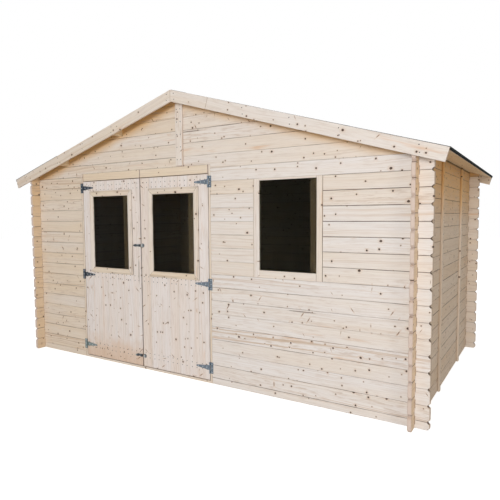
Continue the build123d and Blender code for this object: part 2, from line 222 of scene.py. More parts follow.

# Moulding of the door trims: shares of its width and of its rise, and how dark the wood is there, which is
# painted shade at its foot, in its step and along the glass
moulding = (
    (1.06, 0.0, 0.45), (1.06, 0.03, 0.3), (1.0, 0.03, 0.45), (1.0, 0.55, 0.05), (0.94, 0.68, 0.0),
    (0.80, 0.72, 0.3), (0.77, 0.92, 0.06), (0.70, 1.0, 0.0), (0.55, 0.97, 0.0), (0.12, 0.62, 0.02),
    (0.08, 0.42, 0.2), (0.0, 0.36, 0.2), (0.0, 0.0, 0.5),
)
# painted shade in the mitre joints
mitre_shade = 0.6
trim_warmth = (0.22, 0.0, 0.55, 0.0)  # added to the tone of the top, left, bottom and right lengths

# Direction of a board's grain in its own frame, and the axes along the grain, across it and through it
along_u, along_v, along_depth = range(3)
grain_axes = ((0, 1, 2), (1, 0, 2), (2, 0, 1))
grain_reach = 9.0  # how far out a board may lie in the grain field


# Shader nodes

class Graph:
    """Short calls that add shader nodes to one tree."""

    def __init__(self, tree):
        self.tree = tree

    def node(self, kind, inputs=(), **settings):
        """Adds a node; inputs that are sockets get linked, the others are set."""
        made = self.tree.nodes.new("ShaderNode" + kind)
        for name, value in settings.items():
            setattr(made, name, value)
        for socket, value in dict(inputs).items():
            if isinstance(value, bpy.types.NodeSocket):
                self.tree.links.new(value, made.inputs[socket])
            else:
                made.inputs[socket].default_value = value
        return made

    def maths(self, operation, first, second=0.0):
        return self.node("Math", {0: first, 1: second}, operation=operation).outputs[0]

    def add(self, first, second):
        return self.maths("ADD", first, second)

    def less(self, first, second):
        return self.maths("SUBTRACT", first, second)

    def times(self, first, second):
        return self.maths("MULTIPLY", first, second)

    def most(self, first, second):
        return self.maths("MAXIMUM", first, second)

    def ramp(self, value, low, high, to_low=0.0, to_high=1.0):
        """Smooth ramp of a value from one range to another, held at both ends."""
        ends = {"Value": value, "From Min": low, "From Max": high, "To Min": to_low, "To Max": to_high}
        return self.node("MapRange", ends, interpolation_type="SMOOTHSTEP").outputs["Result"]

    def mix(self, factor, first, second):
        return self.node("Mix", {0: factor, 6: first, 7: second}, data_type="RGBA").outputs[2]

    def scale(self, vector, factors):
        return self.node("VectorMath", {0: vector, 1: factors}, operation="MULTIPLY").outputs[0]

    def noise(self, vector, scale, detail=2.0, roughness=0.5):
        """Cloudy noise; a scale of three numbers draws it out along the axes."""
        if isinstance(scale, tuple):
            vector, scale = self.scale(vector, scale), 1.0
        inputs = {"Vector": vector, "Scale": scale, "Detail": detail, "Roughness": roughness}
        return self.node("TexNoise", inputs).outputs["Fac"]

    def cells(self, vector, scale, **settings):
        """Voronoi cells: the distance to the middle of a cell, and a random share for each cell."""
        made = self.node("TexVoronoi", {"Vector": vector, "Scale": scale}, **settings).outputs
        return made["Distance"], self.node("SeparateColor", {"Color": made["Color"]}).outputs[0]

    def split(self, vector):
        return self.node("SeparateXYZ", {0: vector}).outputs

    def spot(self):
        """Where a point lies in the shed's frame."""
        return self.node("TexCoord").outputs["Object"]

    def attribute(self, name, output="Fac"):
        return self.node("Attribute", attribute_name=name).outputs[output]

    def seen_rays(self):
        """1 for rays from the camera, and for those seen in metal or through glass."""
        path = self.node("LightPath").outputs
        return self.most(self.most(path["Is Camera Ray"], path["Is Glossy Ray"]), path["Is Transmission Ray"])


class Finish(Graph):
    """A material and its shader."""

    def __init__(self, name):
        self.material = bpy.data.materials.new(name)
        self.material.use_nodes = True
        super().__init__(self.material.node_tree)
        self.shader = self.tree.nodes["Principled BSDF"]

    def link(self, socket, value):
        self.tree.links.new(value, self.shader.inputs[socket])

    def set(self, **values):
        for name, value in values.items():
            self.shader.inputs[name.replace("_", " ")].default_value = value

    def bump(self, height, strength, distance):
        made = self.node("Bump", {"Height": height, "Strength": strength, "Distance": distance})
        self.link("Normal", made.outputs["Normal"])


# Spruce

def flecks(wood, grain, kind, share, size=1.0):
    """Scattered spots of one kind: a mask of the spots and a softer one of the wood around them."""
    form, per_metre, present, largest, ragged = spots[kind]
    largest *= size
    distance, chance = wood.cells(wood.scale(grain, form), per_metre, voronoi_dimensions="2D")
    away = wood.maths("DIVIDE", distance, per_metre)
    least = wood.less(1.0, wood.times(share, present))
    radius = wood.ramp(chance, least, 1.0, largest * smallest_share, largest)
    radius = wood.times(radius, wood.maths("GREATER_THAN", chance, least))
    rough = wood.times(wood.noise(grain, 190.0), radius)
    edge = wood.add(wood.times(rough, ragged * 2), wood.times(radius, 1 - ragged))
    core = wood.ramp(wood.less(edge, away), *spot_edge)
    core = wood.times(core, wood.maths("GREATER_THAN", radius, least_spot))
    never_zero = 0.0001
    soft = wood.maths("DIVIDE", away, wood.add(radius, never_zero))
    return core, wood.ramp(soft, *halo_shares, 1.0, 0.0)


def slanted(wood, grain):
    """The grain field sheared to and fro, so that spots in it lie aslant."""
    parts = wood.split(grain)
    lean = wood.ramp(wood.noise(grain, (2.5, 0.0, 0.0), 0.0), 0.42, 0.58, -0.65, 0.75)
    moved = wood.add(parts[0], wood.times(parts[1], lean))
    return wood.node("CombineXYZ", {"X": moved, "Y": parts[1]}).outputs[0]


def wood_spots(wood, grain, habit, knotty, knot_size):
    """Masks of the spots by kind, and of the wood around knots and around pockets."""
    round_share = wood.times(habit[0], knotty)
    spike_share = wood.times(habit[1], knotty)
    knot, by_knot = flecks(wood, grain, "knot", round_share, knot_size)
    pin, by_pin = flecks(wood, grain, "pin", round_share, knot_size)
    spike, by_spike = flecks(wood, slanted(wood, grain), "spike", spike_share)
    pocket, by_pocket = flecks(wood, grain, "pocket", spike_share)
    masks = {"knot": knot, "pin": pin, "spike": spike, "pocket": pocket}
    return masks, wood.most(by_knot, wood.most(by_pin, by_spike)), by_pocket


def bent_grain(wood, grain, near):
    """The grain field as it wanders along a board and bends round its knots."""
    wander = wood.times(wood.noise(grain, (0.9, 5.0, 5.0)), 0.09)
    bent = wood.add(wander, wood.times(near, 0.012))
    shift = wood.node("CombineXYZ", {"Y": bent}).outputs[0]
    return wood.node("VectorMath", {0: grain, 1: shift}, operation="ADD").outputs[0]


def grained(wood, colour, grain, run, fine, strong, contrast):
    """A colour with late wood, fine lines, figure and resin over it; strong is the board's grain."""
    patch = wood.noise(grain, (0.6, 4.0, 4.0), 1.0)
    depth = wood.ramp(patch, 0.40, 0.66, 0.10 * contrast, 0.52 * contrast)
    depth = wood.times(depth, wood.add(strong, 0.25))
    rings = wood.noise(run, (0.45, 66.0, 66.0), 2.0, 0.6)
    colour = wood.mix(wood.times(wood.ramp(rings, 0.54, 0.66), depth), colour, late_wood)
    colour = wood.mix(wood.ramp(fine, 0.42, 0.75, 0.0, 0.34 * contrast), colour, fine_line)
    figure = wood.noise(run, (8.0, 62.0, 62.0), 3.0, 0.62)
    figured = wood.times(wood.ramp(figure, 0.48, 0.70, 0.0, 0.42 * contrast), strong)
    colour = wood.mix(wood.times(figured, 1.25), colour, figure_brown)
    resin = wood.noise(grain, (1.6, 13.0, 13.0), 3.0, 0.55)
    return wood.mix(wood.ramp(resin, 0.64, 0.80, 0.0, 0.55), colour, resin_amber)


def below_roof(wood):
    """Height of the roof boards above a point."""
    parts = wood.split(wood.spot())
    fallen = wood.times(wood.maths("ABSOLUTE", parts[0]), tan(slope))
    return wood.less(ridge_under, wood.add(fallen, parts[2]))


def painted_roof_shade(wood, depth):
    """Painted warm shade under the roof: golden wood to a depth below the roof boards."""
    uneven = wood.times(wood.noise(wood.spot(), 6.0, 3.0), depth * 0.3)
    return wood.ramp(wood.less(below_roof(wood), uneven), depth * 0.15, depth, 1.0, 0.0)


def painted_corner_shade(wood):
    """Painted warm shade on the board ends that run on past the front and back walls."""
    away = wood.maths("ABSOLUTE", wood.split(wood.spot())[1])
    return wood.ramp(away, face_y - 0.03, face_y + 0.01, 0.0, 0.75)


def foot_stain(wood, height):
    """Damp stain that rises unevenly from the foot of a door."""
    where = wood.spot()
    uneven = wood.times(wood.noise(where, 9.0, 3.0), height)
    return wood.ramp(wood.less(wood.split(where)[2], uneven), -height * 0.3, height * 0.6, 0.62, 0.0)


def joint_shade(wood, grain, under_roof):
    """Dark joints that open and close along the boards, partly painted shade in their grooves, and on a side
    wall a painted shadow line under the roof.
    """
    ajar = wood.ramp(wood.noise(grain, (3.5, 0.0, 0.0)), 0.35, 0.65, 0.45, 1.15)
    shade = wood.ramp(wood.times(wood.attribute("seam_shade"), ajar), 0.0, 0.55, 0.0, 0.97)
    if under_roof:
        # painted shadow: a dark line along the top of a side wall, under the roof boards
        shade = wood.most(shade, wood.ramp(below_roof(wood), 0.006, 0.024, 0.85, 0.0))
    return shade


def spruce(name, pale, warm, knotty=1.0, contrast=1.0, knot_size=1.0, foot=0.0, roof_shade=0.0, side=False,
           ends=end_grain):
    """Sawn spruce that follows each board: its tone, its grain along it, knots and resin.

    foot is the height of a damp stain, shelter the depth of painted warm shade under the roof. side is for
    the side walls, with their paler, warmer board ends past the corners, which are painted warm shade, and a
    painted shadow line under the roof.
    """
    wood = Finish(name)
    grain = wood.attribute("grain", "Vector")
    habit = wood.split(wood.attribute("habit", "Vector"))
    masks, near, by_pocket = wood_spots(wood, grain, habit, knotty, knot_size)
    run = bent_grain(wood, grain, near)
    fine = wood.noise(run, (2.0, 240.0, 240.0), 3.0, 0.6)
    broad = wood.noise(grain, (0.9, 9.0, 9.0), 3.0, 0.55)
    lean = wood.add(wood.attribute("tone"), wood.ramp(broad, 0.3, 0.7, -0.16, 0.16))
    colour = wood.mix(lean, pale, warm)
    # painted warm shade under the roof
    if roof_shade:
        colour = wood.mix(painted_roof_shade(wood, roof_shade), colour, roof_shade_gold)
    # painted warm shade on the board ends past the corners
    if side:
        colour = wood.mix(painted_corner_shade(wood), colour, corner_shade_cream)
    colour = grained(wood, colour, grain, run, fine, habit[2], contrast)
    if foot:
        colour = wood.mix(foot_stain(wood, foot), colour, damp_brown)
    colour = wood.mix(wood.times(wood.attribute("cut"), 0.85), colour, ends)
    colour = wood.mix(wood.times(near, 0.27), colour, knot_halo)
    colour = wood.mix(wood.times(by_pocket, 0.14), colour, pocket_halo)
    for kind, (strength, dark) in spot_colours.items():
        colour = wood.mix(wood.times(masks[kind], strength), colour, dark)
    wood.link("Base Color", wood.mix(joint_shade(wood, grain, side), colour, joint_shade_dark))
    wood.link("Roughness", wood.ramp(fine, 0.2, 0.8, 0.52, 0.72))
    wood.bump(wood.less(fine, wood.times(masks["knot"], 0.5)), 0.22, 0.0012)
    wood.set(Specular_IOR_Level=0.25)
    return wood.material


# Other materials

def roofing_felt():
    """Green-black mineral felt: pale grains on a matt ground, scuffed down the slope, dark edges."""
    mat = Finish("mineral_felt")
    where = mat.spot()
    bumps, speck = mat.cells(where, 520.0)
    cloud = mat.noise(where, 2.6, 4.0, 0.6)
    streak = mat.noise(where, (0.7, 9.0, 0.7), 3.0)
    blend = mat.add(mat.ramp(cloud, 0.3, 0.7, -0.3, 0.5), mat.attribute("tone"))
    colour = mat.mix(blend, (0.016, 0.024, 0.022, 1), (0.042, 0.055, 0.049, 1))
    colour = mat.mix(mat.ramp(streak, 0.5, 0.75, 0.0, 0.55), colour, (0.070, 0.082, 0.070, 1))
    colour = mat.mix(mat.ramp(speck, 0.72, 1.0, 0.0, 0.6), colour, (0.15, 0.17, 0.15, 1))
    # dark lower edges: partly bitumen, partly painted shade under the laps
    edge = mat.ramp(mat.attribute("edge"), 0.0, 1.0, 0.0, 0.9)
    mat.link("Base Color", mat.mix(edge, colour, (0.008, 0.011, 0.011, 1)))
    mat.set(Roughness=0.92, Specular_IOR_Level=0.2)
    mat.bump(bumps, 0.5, 0.0012)
    return mat.material


def galvanised(name, dark, light, metallic, roughness, other=None):
    """Zinc on sheet steel: blocky spangle, dull patches and fine scratches.

    other is a second colour and the axis and span over which it takes the place of the first.
    """
    mat = Finish(name)
    where = mat.spot()
    spangle = mat.cells(where, 190.0)[1]
    dull = mat.noise(where, 45.0, 3.0)
    blend = mat.add(mat.times(spangle, 0.6), mat.times(dull, 0.4))
    colour = mat.mix(blend, dark, light)
    if other:
        tint, axis, start, end = other
        second_colour = mat.mix(blend, [channel * 0.7 for channel in tint[:3]] + [1], tint)
        colour = mat.mix(mat.ramp(mat.split(where)[axis], start, end), colour, second_colour)
    mat.link("Base Color", colour)
    mat.link("Roughness", mat.ramp(dull, 0.3, 0.7, roughness - 0.1, roughness + 0.12))
    mat.bump(mat.noise(where, (900.0, 900.0, 60.0)), 0.12, 0.0004)
    mat.set(Metallic=metallic)
    return mat.material


def pane_glass():
    """Dark tinted pane with an uneven film of dust, its lighter patches of tint a painted reflection."""
    mat = Finish("tinted_pane")
    film = mat.noise(mat.spot(), (3.0, 3.0, 1.1), 5.0, 0.62)
    dust_and_reflection = mat.ramp(film, 0.35, 0.75)
    # lighter patches of tint: painted reflection
    mat.link("Base Color", mat.mix(dust_and_reflection, (0.265, 0.262, 0.215, 1), (0.33, 0.325, 0.27, 1)))
    mat.link("Roughness", mat.ramp(film, 0.3, 0.8, 0.0, 0.05))
    mat.set(IOR=1.12, Transmission_Weight=1.0)
    return mat.material


def pale_floor():
    """Floor that reads as white to the camera and keeps the shed's shadow; inside the shed its glow drops, a
    painted shade.
    """
    mat = Finish("pale_floor")
    where = mat.spot()
    mat.link("Base Color", mat.mix(mat.noise(where, 0.7), (0.70, 0.70, 0.70, 1), (0.74, 0.74, 0.74, 1)))
    mat.set(Roughness=0.95, Specular_IOR_Level=0.0, Emission_Color=white)
    parts = mat.split(where)
    past_x = mat.less(mat.maths("ABSOLUTE", parts[0]), face_x)
    past_y = mat.less(mat.maths("ABSOLUTE", parts[1]), face_y)
    # painted shade: the glow drops inside the shed's walls
    glow = mat.ramp(mat.most(past_x, past_y), -wall_thick, 0.0, 0.06, 0.80)
    mat.link("Emission Strength", mat.times(mat.seen_rays(), glow))
    return mat.material


# Flat shapes

def place(origin, along, up):
    """Frame of a flat board: along it, up across it and out of its face."""
    along, up = Vector(along), Vector(up)
    turn = Matrix((along, up, along.cross(up))).transposed().to_4x4()
    return Matrix.Translation(origin) @ turn


front = place((0, -face_y, 0), (1, 0, 0), (0, 0, 1))
back = place((0, face_y, 0), (-1, 0, 0), (0, 0, 1))
right = place((face_x, 0, 0), (0, 1, 0), (0, 0, 1))
left = place((-face_x, 0, 0), (0, -1, 0), (0, 0, 1))


def rectangle(u0, u1, v0, v1):
    return [(u0, v0), (u1, v0), (u1, v1), (u0, v1)]


def inset(outline, amount):
    """The same outline with every side moved inwards."""
    points = []
    count = len(outline)
    for index, (u, v) in enumerate(outline):
        before = Vector((u, v)) - Vector(outline[index - 1])
        after = Vector(outline[(index + 1) % count]) - Vector((u, v))
        first = Vector((-before.y, before.x)).normalized()
        second = Vector((-after.y, after.x)).normalized()
        points.append(Vector((u, v)) + (first + second) * (amount / (1.0 + first.dot(second))))
    return points


def clipped(outline, side):
    """The part of an outline where side(u, v) isn't negative."""
    same_place = 1e-6
    kept = []
    for index, point in enumerate(outline):
        last = outline[index - 1]
        here, there = side(*point), side(*last)
        if (here < 0) != (there < 0):
            share = there / (there - here)
            kept.append(tuple(a + (b - a) * share for a, b in zip(last, point)))
        if here >= 0:
            kept.append(point)
    return [point for index, point in enumerate(kept) if dist(point, kept[index - 1]) > same_place]


# Meshes

def add_object(name, data):
    made = bpy.data.objects.new(name, data)
    bpy.context.scene.collection.objects.link(made)
    return made


def add_mesh(name, points, faces, material):
    mesh = bpy.data.meshes.new(name)
    mesh.from_pydata(points, [], faces)
    mesh.materials.append(material)
    return add_object(name, mesh)


def bands(start, count, rings):
    """Side faces between rings of points: the ring, two corners and the face's points."""
    for ring in range(rings - 1):
        low = start + ring * count
        high = low + count
        for i in range(count):
            j = (i + 1) % count
            yield ring, i, j, (low + i, low + j, high + j, high + i)


class Piece:
    """Points and faces that become one object on a body."""

    def __init__(self, name):
        self.name = name
        self.points, self.faces = [], []

    def attributes(self):
        """Name, kind, domain and values of what the finish reads; a plain piece has none."""
        return ()

    def finish(self, material, body, slot, *nodes):
        """Adds the object, in place of the nodes if any are named."""
        piece = add_mesh(self.name, self.points, self.faces, material)
        for name, kind, domain, values in self.attributes():
            field = "vector" if kind == "FLOAT_VECTOR" else "value"
            piece.data.attributes.new(name, kind, domain).data.foreach_set(field, values)
        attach(piece, body)
        if nodes:
            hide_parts(*nodes)


class Timber(Piece):
    """Boards of one piece, each with its own tone, habit and stretch of grain."""

    def __init__(self, name, tone, kinds=tuple(habits), notch=1.0):
        super().__init__(name)
        self.tone, self.kinds, self.notch = tone, kinds, notch
        self.draw = random.Random(name)
        self.grain, self.tones, self.habits = [], [], []
        self.seam_shades = {}
        self.cuts = set()

    def point(self, place, grain, tone, habit):
        self.points.append(place)
        self.grain += grain
        self.tones.append(tone)
        self.habits += habit

    def grain_offset(self, across=0.0):
        """Where in the grain field a board lies."""
        along = self.draw.uniform(-grain_reach, grain_reach)
        return along, across, self.draw.uniform(-grain_reach, grain_reach)

    def stand(self):
        """Boards stand a hair behind the face, each by its own amount."""
        return self.draw.uniform(-most_stand, 0.0)

    def joint(self):
        """Some joints are tight and pale, others open and dark."""
        return self.draw.uniform(*joint_range)

    def mark(self, start, end, grain, ring, seam_shade):
        """Notes how one side face looks: dark along a joint, partly painted shade in its groove, painted
        shade in a notch, or cut across the grain.
        """
        long_side, slanted_side = 0.9, 0.4
        along = abs(end[grain] - start[grain]) / dist(start, end)
        if along < long_side:
            self.cuts.add(len(self.faces))
        if seam_shade and along > long_side:
            near, far = ((0.0, seam_shade), (seam_shade, seam_shade), (seam_shade, 0.0))[ring]
            self.seam_shades[len(self.faces)] = (near, near, far, far)
        # painted shade in a notch, darkest deep in it
        elif seam_shade and along > slanted_side:
            outwards = abs(end[grain]) > abs(start[grain])
            first, last = (0.0, self.notch) if outwards else (self.notch, 0.0)
            self.seam_shades[len(self.faces)] = (first, last, last, first)

    def board(self, at, outline, thick, out=0.0, grain=along_u, edge=joint_edge, tone=None, seam_shade=0.0,
              kind=None):
        """One board: an outline on the frame's face, drawn inwards, with all its edges eased.

        Its long sides darken by seam towards the joint: a dark joint, partly painted shade in its groove.
        """
        habit = habits[kind or self.draw.choice(self.kinds)]
        offset = self.grain_offset()
        tone = self.draw.uniform(*(tone or self.tone))
        flip = self.draw.choice((-1.0, 1.0))
        foot = Vector((*outline[0], 0.0))
        start = len(self.points)
        count = len(outline)
        eased = inset(outline, edge)
        rings = ((eased, 0.0), (outline, edge), (outline, thick - edge), (eased, thick))
        for ring, depth in rings:
            for u, v in ring:
                local = Vector((u, v, out - depth))
                turned = [(local - foot)[axis] for axis in grain_axes[grain]]
                self.point(at @ local, [flip * c + o for c, o in zip(turned, offset)], tone, habit)
        for ring, i, j, (a, b, c, d) in bands(start, count, len(rings)):
            if grain != along_depth:
                self.mark(outline[i], outline[j], grain, ring, seam_shade)
            self.faces.append((b, a, d, c))
        if grain == along_depth:
            self.cuts.update((len(self.faces), len(self.faces) + 1))
        top = start + (len(rings) - 1) * count
        self.faces.append(tuple(range(start, start + count)))
        self.faces.append(tuple(range(top + count - 1, top - 1, -1)))

    def attributes(self):
        seam_shades = []
        for index, face in enumerate(self.faces):
            seam_shades += self.seam_shades.get(index, (0.0,) * len(face))
        cuts = [float(index in self.cuts) for index in range(len(self.faces))]
        return (
            ("grain", "FLOAT_VECTOR", "POINT", self.grain),
            ("tone", "FLOAT", "POINT", self.tones),
            ("habit", "FLOAT_VECTOR", "POINT", self.habits),
            ("seam_shade", "FLOAT", "CORNER", seam_shades),
            ("cut", "FLOAT", "FACE", cuts),
        )


class Studs(Piece):
    """Small domed heads of nails and screws, joined into one piece."""

    rings = ((1.0, -0.5), (1.0, 0.35), (0.7, 0.85))  # shares of the radius and of the rise

    def __init__(self, name, radius, rise, sides):
        super().__init__(name)
        self.radius, self.rise, self.sides = radius, rise, sides

    def head(self, at, u, v, out):
        start = len(self.points)
        for share, height in self.rings:
            for i in range(self.sides):
                angle = 2 * pi * i / self.sides
                around = Vector((cos(angle), sin(angle), 0)) * self.radius * share
                self.points.append(at @ (Vector((u, v, out + self.rise * height)) + around))
        self.points.append(at @ Vector((u, v, out + self.rise)))
        self.faces += [face for *_, face in bands(start, self.sides, len(self.rings))]
        last, tip = start + (len(self.rings) - 1) * self.sides, len(self.points) - 1
        for i in range(self.sides):
            self.faces.append((last + i, last + (i + 1) % self.sides, tip))
        self.faces.append(tuple(range(start + self.sides - 1, start - 1, -1)))


class Sheet(Piece):
    """Felt strips of one slope, joined into one piece."""

    def __init__(self, name):
        super().__init__(name)
        self.tones, self.edges = [], []

    def strip(self, at, rows, thick, tone, edge_rows):
        """One strip from rows of points (u, v, height); each row is one line along the ridge.

        The last rows, as many as edge_rows, are dark: partly bitumen, partly painted shade under the lap.
        """
        start = len(self.points)
        across = len(rows[0])
        count = len(rows) * across
        for lower in (0.0, thick):
            for index, row in enumerate(rows):
                self.points += [at @ Vector((u, v, height - lower)) for u, v, height in row]
                self.edges += [float(index >= len(rows) - edge_rows)] * across
        self.tones += [tone] * (2 * count)
        for r in range(len(rows) - 1):
            for c in range(across - 1):
                a = start + r * across + c
                quad = (a, a + 1, a + across + 1, a + across)
                self.faces.append(quad)
                self.faces.append(tuple(i + count for i in quad[::-1]))
        rim = list(range(across)) + [r * across + across - 1 for r in range(1, len(rows))]
        rim += [(len(rows) - 1) * across + c for c in range(across - 2, -1, -1)]
        rim += [r * across for r in range(len(rows) - 2, 0, -1)]
        for i, j in zip(rim, rim[1:] + rim[:1]):
            self.faces.append((start + j, start + i, start + count + i, start + count + j))

    def attributes(self):
        return ("tone", "FLOAT", "POINT", self.tones), ("edge", "FLOAT", "POINT", self.edges)


# Walls

def notched(u0, u1, level, notches, inward):
    """Points along one long side of a board, with square notches cut into it."""
    points = [] if any(a <= u0 for a, b, depth in notches) else [(u0, level)]
    for a, b, depth in sorted(notches):
        if a > u0:
            points.append((a, level))
        points += [(max(a, u0), level + inward * depth), (min(b, u1), level + inward * depth)]
        if b < u1:
            points.append((b, level))
    if not any(b >= u1 for a, b, depth in notches):
        points.append((u1, level))
    return points


def course_outline(u0, u1, v0, v1, low=(), high=(), cut_start=False, cut_end=False):
    """A board of one course: notches below and above, and cut corners at free ends."""
    below = notched(u0, u1, v0, low, 1)
    above = notched(u0, u1, v1, high, -1)
    if cut_start:
        below[:1] = [(u0, v0 + end_cut), (u0 + end_cut, v0)]
        above[:1] = [(u0, v1 - end_cut), (u0 + end_cut, v1)]
    if cut_end:
        below[-1:] = [(u1 - end_cut, v0), (u1, v0 + end_cut)]
        above[-1:] = [(u1 - end_cut, v1), (u1, v1 - end_cut)]
    return below + above[::-1]


def courses(low, high, offset):
    """Board spans between two levels, with joints at offset plus whole courses."""
    levels = [low]
    joint = offset
    while joint < high - joint_edge:
        if joint > low + joint_edge:
            levels.append(joint)
        joint += course
    levels.append(high)
    return list(zip(levels, levels[1:]))


def corner_columns(u0, u1, corner):
    """Spans along a wall where the boards of the next walls cross it."""
    spans = ((-corner, wall_thick - corner), (corner - wall_thick, corner))
    return [(a, b, lap) for a, b in spans if u0 <= a and b <= u1]


def long_wall(node, at, side, tone, kinds=(), gaping=1.0):
    """Boards of a front or back wall node; side is the direction of +X along the frame.

    kinds gives the habits of its boards, from the lowest up. gaping makes its joints darker or paler.
    """
    low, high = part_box(node)
    u0, u1 = sorted((side * low.x, side * high.x))
    columns = corner_columns(u0, u1, face_x)
    timber = Timber(node + "_boards", tone)
    for index, (v0, v1) in enumerate(courses(low.z, high.z, course / 2)):
        below = columns if v0 > joint_edge else []
        outline = course_outline(u0, u1, v0, v1, below, columns, abs(u0) >= reach_x, abs(u1) >= reach_x)
        kind = kinds[index] if index < len(kinds) else None
        timber.board(at, outline, wall_thick, timber.stand(), seam_shade=timber.joint() * gaping, kind=kind)
    timber.finish(wall_spruce, "shed", "wall_wood", node)


def side_wall(node, at):
    columns = corner_columns(-reach_y, reach_y, face_y)
    timber = Timber(node + "_boards", side_tone, notch=side_notch_shade)
    top = ridge_under - face_x * tan(slope)
    for v0, v1 in courses(0.0, top, 0.0):
        cut_down = course * side_courses - top if v1 >= top else 0.0
        above = [(a, b, depth - cut_down) for a, b, depth in columns]
        outline = course_outline(-reach_y, reach_y, v0, v1, columns, above, True, True)
        timber.board(at, outline, wall_thick, timber.stand(), seam_shade=timber.joint() * side_gaping)
    timber.finish(side_shade_spruce, "shed", "wall_wood", node)


def gable(node, at, side, tone, doorway=()):
    """Gable boards between the middle and the eaves, cut off under the roof."""
    low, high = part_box(node)
    u0, u1 = sorted((side * low.x, side * high.x))
    timber = Timber(node + "_boards", tone)
    for v0, v1 in courses(low.z, ridge_under, course / 2):
        first = v0 <= low.z + joint_edge
        notches = corner_columns(u0, u1, face_x) + list(doorway) if first else []
        outline = course_outline(u0, u1, v0, v1, notches)
        outline = clipped(outline, lambda u, v: ridge_under - abs(u) * tan(slope) - v)
        timber.board(at, outline, wall_thick, timber.stand(), seam_shade=timber.joint())
    timber.finish(gable_spruce, "shed", "wall_wood", node)


def build_walls():
    for node, look in front_walls.items():
        long_wall(node, front, 1, *look)
    long_wall("back_wall", back, -1, back_tone)
    side_wall("right_wall", right)
    side_wall("left_wall", left)
    jamb_low, jamb_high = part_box("door_jambs")
    door_cut = jamb_high.z - gable_base
    gable("front_gable_left", front, 1, left_gable_tone, [(jamb_low.x, 0.0, door_cut)])
    gable("front_gable_right", front, 1, gable_tone, [(0.0, jamb_high.x, door_cut)])
    gable("back_gable_left", back, -1, gable_tone)
    gable("back_gable_right", back, -1, gable_tone)


# Trim on the walls

def build_cover_strips(nails):
    low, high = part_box("gable_cover_strips")
    thick = high.y - face_y
    strips = Timber("gable_cover_strips_planed", (0.0, 0.15))
    for at in (front, back):
        strips.board(at, rectangle(low.x, high.x, low.z, high.z), thick, thick, along_v)
        for row in range(cover_nail_rows):
            level = low.z + (high.z - low.z) * (row + 0.5) / cover_nail_rows
            for u in (low.x / 2, high.x / 2):
                nails.head(at, u, level, thick)
    strips.finish(trim_spruce, "shed", "trim_wood", "gable_cover_strips")


def build_battens(nails):
    low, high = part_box("side_wall_battens")
    thick = high.x - face_x
    battens = Timber("side_wall_battens_planed", (0.0, 0.25), ("clear", "round"))
    for at, turn in ((right, 1), (left, -1)):
        for y in (low.y, high.y - batten_width):
            u0, u1 = sorted((turn * y, turn * (y + batten_width)))
            battens.board(at, rectangle(u0, u1, low.z, high.z), thick, thick, along_v)
            for row in range(side_courses):
                nails.head(at, (u0 + u1) / 2, course * (row + 0.5), thick)
    battens.finish(side_shade_spruce, "shed", "trim_wood", "side_wall_battens")


def build_wall_trim():
    nails = Studs("cover_strip_nails", *wall_nail)
    build_cover_strips(nails)
    build_battens(nails)
    nails.finish(nail_steel, "shed", "zinc_hinge")


def planed_boards(node, tone, spans, grain, out=0.0):
    """Planed boards on the front wall, one for each span along it, in place of a node."""
    low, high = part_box(node)
    timber = Timber(node + "_planed", tone)
    for u0, u1 in spans:
        timber.board(front, rectangle(u0, u1, low.z, high.z), high.y - low.y, out, grain, small_edge)
    timber.finish(trim_spruce, "shed", "trim_wood", node)


def build_window():
    low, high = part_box("window_stiles")
    rail_low, rail_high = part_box("window_rails")
    glass_low, glass_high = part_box("window_glass")
    stiles = Timber("window_stiles_planed", (0.1, 0.3))
    for u0, u1, gap, edge in (
        (low.x, rail_low.x, tight_joint, small_edge),
        (rail_high.x, high.x, open_joint, 2 * small_edge),
    ):
        stiles.board(front, rectangle(u0, u1, low.z, high.z), high.y - low.y, 0.0, along_v, edge, seam_shade=gap)
    stiles.finish(trim_spruce, "shed", "trim_wood", "window_stiles")
    rails = Timber("window_rails_planed", (0.2, 0.5))
    for span in ((rail_low.z, glass_low.z), (glass_high.z, rail_high.z)):
        outline = rectangle(rail_low.x, rail_high.x, *span)
        rails.board(front, outline, high.y - low.y, edge=small_edge)
    rails.finish(trim_spruce, "shed", "trim_wood", "window_rails")
    behind = -face_y - glass_high.y - strip_clear
    build_reflection_strip("window_pane_strip", "window_glass", "shed", behind, window_strip_width)


def build_doorway():
    low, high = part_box("door_jambs")
    sill_low, sill_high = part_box("door_threshold")
    spans = ((low.x, sill_low.x), (sill_high.x, high.x))
    planed_boards("door_jambs", (0.3, 0.6), spans, along_v)
    planed_boards("door_threshold", (0.3, 0.6), ((sill_low.x, sill_high.x),), along_u)
    low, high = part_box("door_head_boards")
    middle = (low.x + high.x) / 2
    spans = ((low.x, middle - head_gap / 2), (middle + head_gap / 2, high.x))
    planed_boards("door_head_boards", (0.75, 0.95), spans, along_u)
    low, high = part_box("door_stops")
    spans = ((low.x, low.x + stop_width), (high.x - stop_width, high.x))
    planed_boards("door_stops", (0.4, 0.7), spans, along_v, -face_y - low.y)


def build_reflection_strip(name, glass_node, body, behind, width):
    """Upright strip behind the right-hand edge of a pane, seen through it: a painted reflection of the shaded
    frame in the glass.
    """
    low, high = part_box(glass_node)
    strip = Timber(name, (0.9, 1.0), ("clear",))
    outline = rectangle(high.x - width, high.x, low.z, high.z)
    strip.board(front, outline, strip_thick, behind, along_v, small_edge)
    strip.finish(strip_spruce, body, "trim_wood")


# Doors

